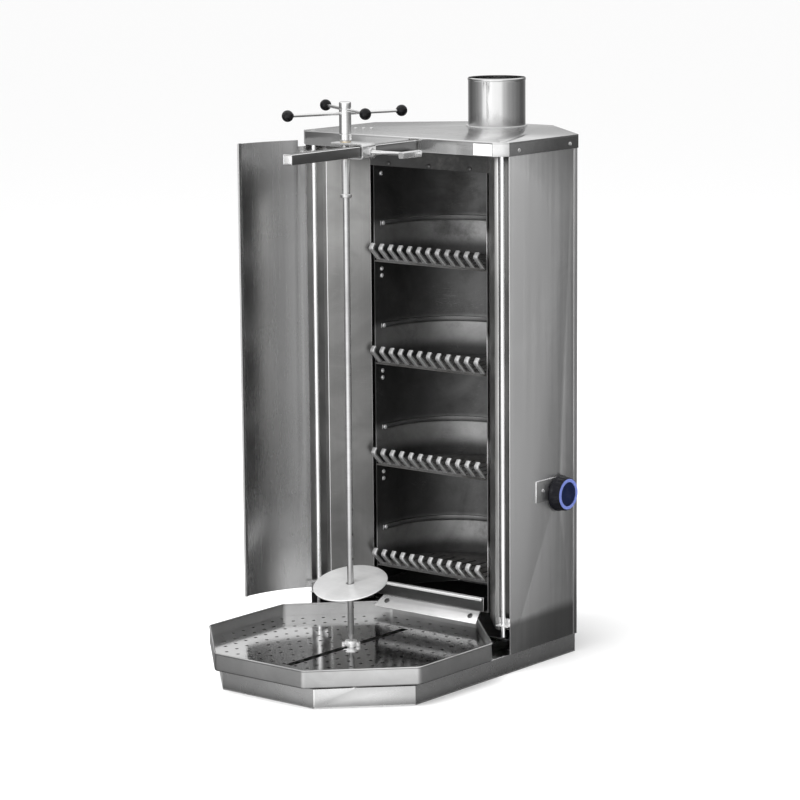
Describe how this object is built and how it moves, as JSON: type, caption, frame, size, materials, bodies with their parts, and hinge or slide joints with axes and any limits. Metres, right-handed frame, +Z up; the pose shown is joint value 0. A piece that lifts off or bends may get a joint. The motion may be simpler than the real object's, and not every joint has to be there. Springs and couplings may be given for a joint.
{
  "type": "rotisserie oven",
  "caption": "Upright stainless rotisserie oven with stacked fire shelves, a hand-turned spit on a sliding bracket, a hinged wind wing, a drip tray and a smoke outlet.",
  "frame": {"origin": "on the floor, on the centre line, directly under the front edge of the lid", "axes": "+X to the oven's right side, +Y to its back, +Z up"},
  "size_m": [0.6455, 0.912, 1.271],
  "materials": {
    "panel_steel": "satin brushed stainless sheet, grain upright",
    "cheek_steel": "satin stainless sheet, tinted by heat near the fire",
    "base_steel": "satin brushed stainless sheet, grain level",
    "tray_steel": "brushed stainless sheet with wiped smears",
    "plate_steel": "bright rolled stainless sheet, perforated",
    "flue_steel": "bright drawn tube, grain upright",
    "wing_steel": "satin stainless sheet, lightly smudged",
    "rod_steel": "bright drawn round bar",
    "sooty_steel": "fire-side steel, dull, sooted and heat marked",
    "ring_steel": "dull steel strip with worn bright edge",
    "fence_steel": "heavy bars, sooted at the root and worn bright at the tips",
    "deflector_steel": "bright stainless sheet",
    "pan_steel": "dull stainless sheet with ash dust, bright rolled edge",
    "fastener_steel": "plain machined steel",
    "arm_steel": "satin square tube",
    "bracket_steel": "ground bent strap with bright edges",
    "bush_brass": "turned bearing bush",
    "clamp_steel": "turned bar and bright square lever",
    "bearing_steel": "turned steel, greasy",
    "skewer_steel": "ground round bar with dull grease marks",
    "disc_steel": "radially brushed stainless disc",
    "handle_steel": "turned and polished steel",
    "ball_plastic": "gloss black moulded balls",
    "knob_plastic": "satin black moulded knob",
    "knob_trim": "light blue trim ring",
    "shaft_steel": "turned steel pin",
    "knob_plate_steel": "dark satin plate",
    "label_foil": "blank pale foil"
  },
  "bodies": {
    "cabinet": {"side_panel_left": "panel_steel", "side_panel_right": "panel_steel", "rear_casing": "panel_steel", "top_plate": "panel_steel", "flue_collar": "panel_steel", "smoke_deck": "panel_steel", "case_floor": "panel_steel", "jamb_left": "cheek_steel", "jamb_right": "cheek_steel", "top_baffle": "cheek_steel", "base_pan": "base_steel", "base_floor": "base_steel", "drip_tray": "tray_steel", "drip_plate": "plate_steel", "flue_pipe": "flue_steel", "hinge_rod_left": "rod_steel", "hinge_rod_right": "rod_steel", "fire_liner": "sooty_steel", "hearth_plate": "sooty_steel", "shelf_1": "sooty_steel", "shelf_2": "sooty_steel", "shelf_3": "sooty_steel", "shelf_4": "sooty_steel", "back_rings": "ring_steel", "fence_1": "fence_steel", "fence_2": "fence_steel", "fence_3": "fence_steel", "fence_4": "fence_steel", "deflector_plate": "deflector_steel", "liner_bolts": "fastener_steel", "panel_screws": "fastener_steel", "rod_fittings": "fastener_steel", "hinge_plate_left": "fastener_steel", "hinge_plate_right": "fastener_steel", "arm_bar": "arm_steel", "arm_socket": "arm_steel", "arm_end_cap": "arm_steel", "knob_backplate": "knob_plate_steel", "rating_plate": "label_foil"},
    "carriage": {"spit_bracket": "bracket_steel", "bracket_bushings": "bush_brass", "clamp_nut": "fastener_steel"},
    "clamp": {"clamp_screw": "clamp_steel", "clamp_lever": "clamp_steel"},
    "spit": {"skewer": "skewer_steel", "drive_shaft": "skewer_steel", "disc_pin": "skewer_steel", "spit_disc": "disc_steel", "handle_hub": "handle_steel", "handle_rods": "handle_steel", "ball_knobs": "ball_plastic"},
    "foot_bearing": {"lower_bearing": "bearing_steel", "bearing_washer": "bearing_steel"},
    "ash_drawer": {"ash_pan": "pan_steel", "pan_lip": "pan_steel"},
    "wing": {"wing_door": "wing_steel", "door_lugs": "wing_steel"},
    "knob": {"knob_body": "knob_plastic", "knob_ring": "knob_trim", "knob_shaft": "shaft_steel"}
  },
  "joints": [
    {"name": "carriage_slide", "type": "slide", "parent": "cabinet", "child": "carriage", "axis": [0, 1, 0], "range_m": [-0.16, 0.08]},
    {"name": "foot_slide", "type": "slide", "parent": "cabinet", "child": "foot_bearing", "axis": [0, 1, 0], "range_m": [-0.16, 0.08]},
    {"name": "spit_spin", "type": "hinge", "parent": "carriage", "child": "spit", "pos_m": [0, -0.173, 1.1], "axis": [0, 0, 1], "continuous": true},
    {"name": "clamp_turn", "type": "hinge", "parent": "carriage", "child": "clamp", "pos_m": [0.07, -0.173, 1.146], "axis": [1, 0, 0], "range_deg": [0, 180]},
    {"name": "ash_drawer_slide", "type": "slide", "parent": "cabinet", "child": "ash_drawer", "axis": [0, -1, 0], "range_m": [0, 0.17]},
    {"name": "wing_swing", "type": "hinge", "parent": "cabinet", "child": "wing", "pos_m": [-0.264, 0.031, 0.6], "axis": [0, 0, 1], "range_deg": [-35, 45]},
    {"name": "knob_turn", "type": "hinge", "parent": "cabinet", "child": "knob", "pos_m": [0.288, 0.203, 0.375], "axis": [1, 0, 0], "range_deg": [0, 270]}
  ],
  "couplings": [
    {"joint": "foot_slide", "follows": "carriage_slide", "ratio": 1}
  ]
}
